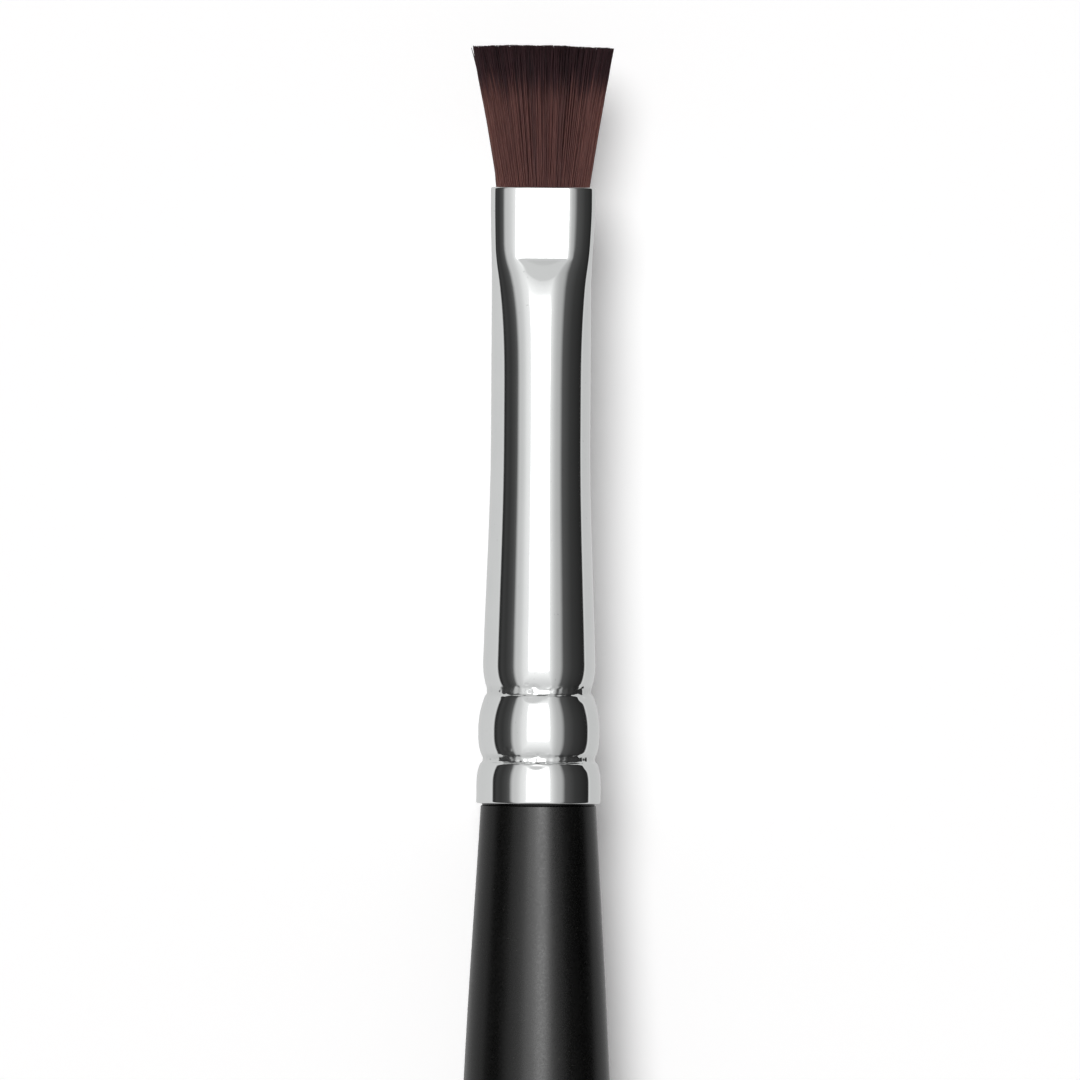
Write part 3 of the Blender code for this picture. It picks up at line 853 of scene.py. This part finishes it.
def tent_material():
    m = Nodes("light_tent")
    split = m.add("ShaderNodeSeparateXYZ")
    m.link(m.position(), split.inputs[0])
    x, y, z = split.outputs
    # The turn from straight up as a share of the circle: 0.5 is straight up, more is to +Y.
    around = m.math("ARCTAN2", y, z)
    around = m.math("FRACT", m.math("ADD", m.math("DIVIDE", around, 2 * math.pi), 0.5))
    stops = [(0.5 - a / 360.0, v) for a, v in reversed(TENT_RIGHT)]
    stops += [(0.5 + a / 360.0, v) for a, v in TENT_LEFT]
    sides = level_ramp(m, around, stops)
    lean = m.math("DIVIDE", m.math("SUBTRACT", x, TENT_MIDDLE * MM), TENT_RADIUS * MM)
    limit = level_ramp(m, m.math("ADD", m.math("MULTIPLY", lean, 0.5), 0.5),
                       [(0.5 + 0.5 * a, v) for a, v in TENT_LEANS])
    sides = m.math("MINIMUM", sides, limit)
    degrees = m.math("MULTIPLY", m.math("SUBTRACT", around, 0.5), 360.0)
    right = m.fit(degrees, -CORE_RIGHT - 1.5, -CORE_RIGHT + 1.5, smooth=True)
    left = m.fit(degrees, CORE_LEFT - 1.5, CORE_LEFT + 1.5, 1.0, 0.0, smooth=True)
    ahead = m.fit(lean, 0.46, 0.68, 1.0, 0.0, smooth=True)
    behind = m.fit(lean, -0.20, -0.10, smooth=True)
    window = m.math("MULTIPLY", ahead, behind)
    off_hot = m.math("ABSOLUTE", m.math("SUBTRACT", degrees, HOT_TURN))
    hot = m.fit(off_hot, 0.0, HOT_REACH, HOT_LEVEL, 0.0, smooth=True)
    core = m.math("MULTIPLY", m.math("MULTIPLY", right, left), window)
    core = m.math("MULTIPLY", core, m.math("ADD", hot, CORE_LEVEL))
    # The soft box and its dark flags end far off; beyond them the tent is plain.
    end = m.fit(m.math("ABSOLUTE", lean), 1.4, 2.0, smooth=True)
    sides = m.math("ADD", m.math("MULTIPLY", sides, m.math("SUBTRACT", 1.0, end)),
                   m.math("MULTIPLY", end, 0.60))
    glow = m.add("ShaderNodeEmission")
    m.link(m.math("ADD", sides, core), glow.inputs["Strength"])
    m.link(glow.outputs[0], m.tree.nodes["Material Output"].inputs["Surface"])
    return m.material


def make_tent():
    """The studio as mirrors see it: a soft box over the brush, dark flags beside it, pale floor."""
    sides = 180
    angle = np.arange(sides) * 2 * math.pi / sides
    rings = []
    for x in np.linspace(TENT_MIDDLE - 3 * TENT_RADIUS, TENT_MIDDLE + 3 * TENT_RADIUS, 25):
        ring = [np.full(sides, x), TENT_RADIUS * np.cos(angle), TENT_RADIUS * np.sin(angle)]
        rings.append(np.column_stack(ring))
    vertices, faces = skin(rings)
    tent = new_mesh_object("light_tent", vertices, faces, smooth=False)
    wear(tent_material(), tent)
    tent.visible_camera = False
    tent.visible_diffuse = False
    tent.visible_transmission = False
    tent.visible_volume_scatter = False
    tent.visible_shadow = False


def make_world():
    """White for the camera; a dim grey room for every other ray."""
    world = bpy.data.worlds.new("studio")
    bpy.context.scene.world = world
    world.use_nodes = True
    tree = world.node_tree
    path = tree.nodes.new("ShaderNodeLightPath")
    level = tree.nodes.new("ShaderNodeMapRange")
    level.inputs["To Min"].default_value = ROOM_LEVEL
    level.inputs["To Max"].default_value = BACKDROP_LEVEL
    tree.links.new(path.outputs["Is Camera Ray"], level.inputs["Value"])
    tree.links.new(level.outputs[0], tree.nodes["Background"].inputs["Strength"])
    tree.nodes["Background"].inputs["Color"].default_value = (1.0, 1.0, 1.0, 1.0)


def make_lights():
    """One large soft key, a little to the brush's +Y side and ahead of it."""
    key = bpy.data.lights.new("key", "SUN")
    key.energy = KEY_POWER
    key.angle = math.radians(KEY_SIZE)
    obj = bpy.data.objects.new("key", key)
    lean = math.radians(KEY_LEAN)
    toward = Vector((KEY_AHEAD, math.sin(lean), math.cos(lean)))
    obj.rotation_mode = "QUATERNION"
    obj.rotation_quaternion = toward.to_track_quat("Z", "Y")
    obj.visible_glossy = False
    bpy.context.scene.collection.objects.link(obj)


def make_camera():
    """Straight down on the brush through a long lens; the handle runs out of the picture."""
    camera = bpy.data.cameras.new("camera")
    camera.sensor_width = SENSOR
    camera.lens = LENS
    distance = PICTURE_WIDTH * LENS / SENSOR
    camera.clip_start, camera.clip_end = 0.01, 20.0
    obj = bpy.data.objects.new("camera", camera)
    up = Vector((math.cos(CAMERA_ROLL), math.sin(CAMERA_ROLL), 0.0))
    back = Vector((0.0, 0.0, 1.0))
    right = up.cross(back)
    turn = Matrix((right, up, back)).transposed()
    obj.matrix_world = turn.to_4x4()
    obj.location = ((RIM_X + PICTURE_MIDDLE) * MM, 0.0, distance * MM)
    bpy.context.scene.collection.objects.link(obj)
    bpy.context.scene.camera = obj


def main():
    make_ferrule(plating_material())
    make_handle(lacquer_material())
    make_tuft(filament_material())
    inner = {
        "epoxy_plug": resin_material(),
        "glue_sleeve": adhesive_material(),
        "binding_thread": thread_material(),
    }
    for node, material in inner.items():
        wear(material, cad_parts[node])
    make_floor()
    make_tent()
    make_world()
    make_lights()
    make_camera()
    bpy.context.scene.view_settings.view_transform = "Standard"
    bpy.context.scene.view_settings.look = "None"


main()
